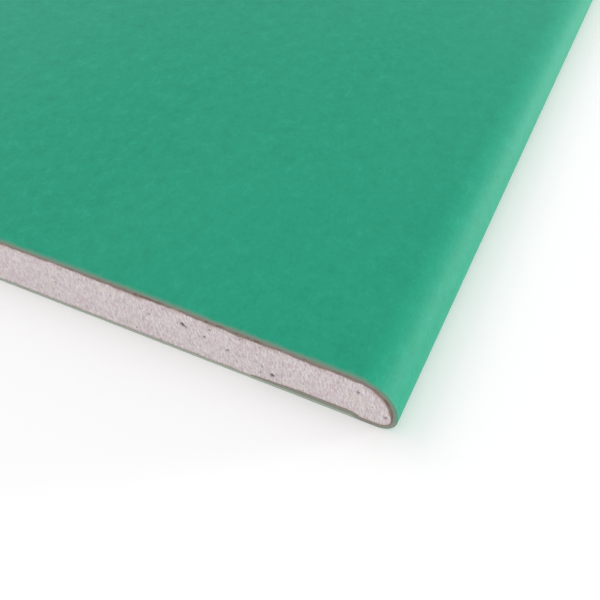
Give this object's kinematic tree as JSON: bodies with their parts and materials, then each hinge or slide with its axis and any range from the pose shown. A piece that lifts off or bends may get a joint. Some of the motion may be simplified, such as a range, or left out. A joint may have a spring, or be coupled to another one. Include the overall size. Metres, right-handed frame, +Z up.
{
  "type": "drywall sheet",
  "caption": "Flat sheet of moisture-resistant plasterboard: gypsum core between a green face paper and a grey back paper, long edges tapered and rounded, ends cut square.",
  "frame": {"origin": "middle of the underside of the back paper, which lies on the floor", "axes": "+Z up through the green face; +Y along the board, parallel to the tapered long edges; +X across the board to a long edge"},
  "size_m": [1.2, 2.5, 0.0125],
  "materials": {
    "gypsum": "matte",
    "green_paper": "matte",
    "grey_paper": "matte"
  },
  "bodies": {
    "root": {"gypsum_core": "gypsum", "face_paper": "green_paper", "back_paper": "grey_paper"}
  },
  "joints": []
}
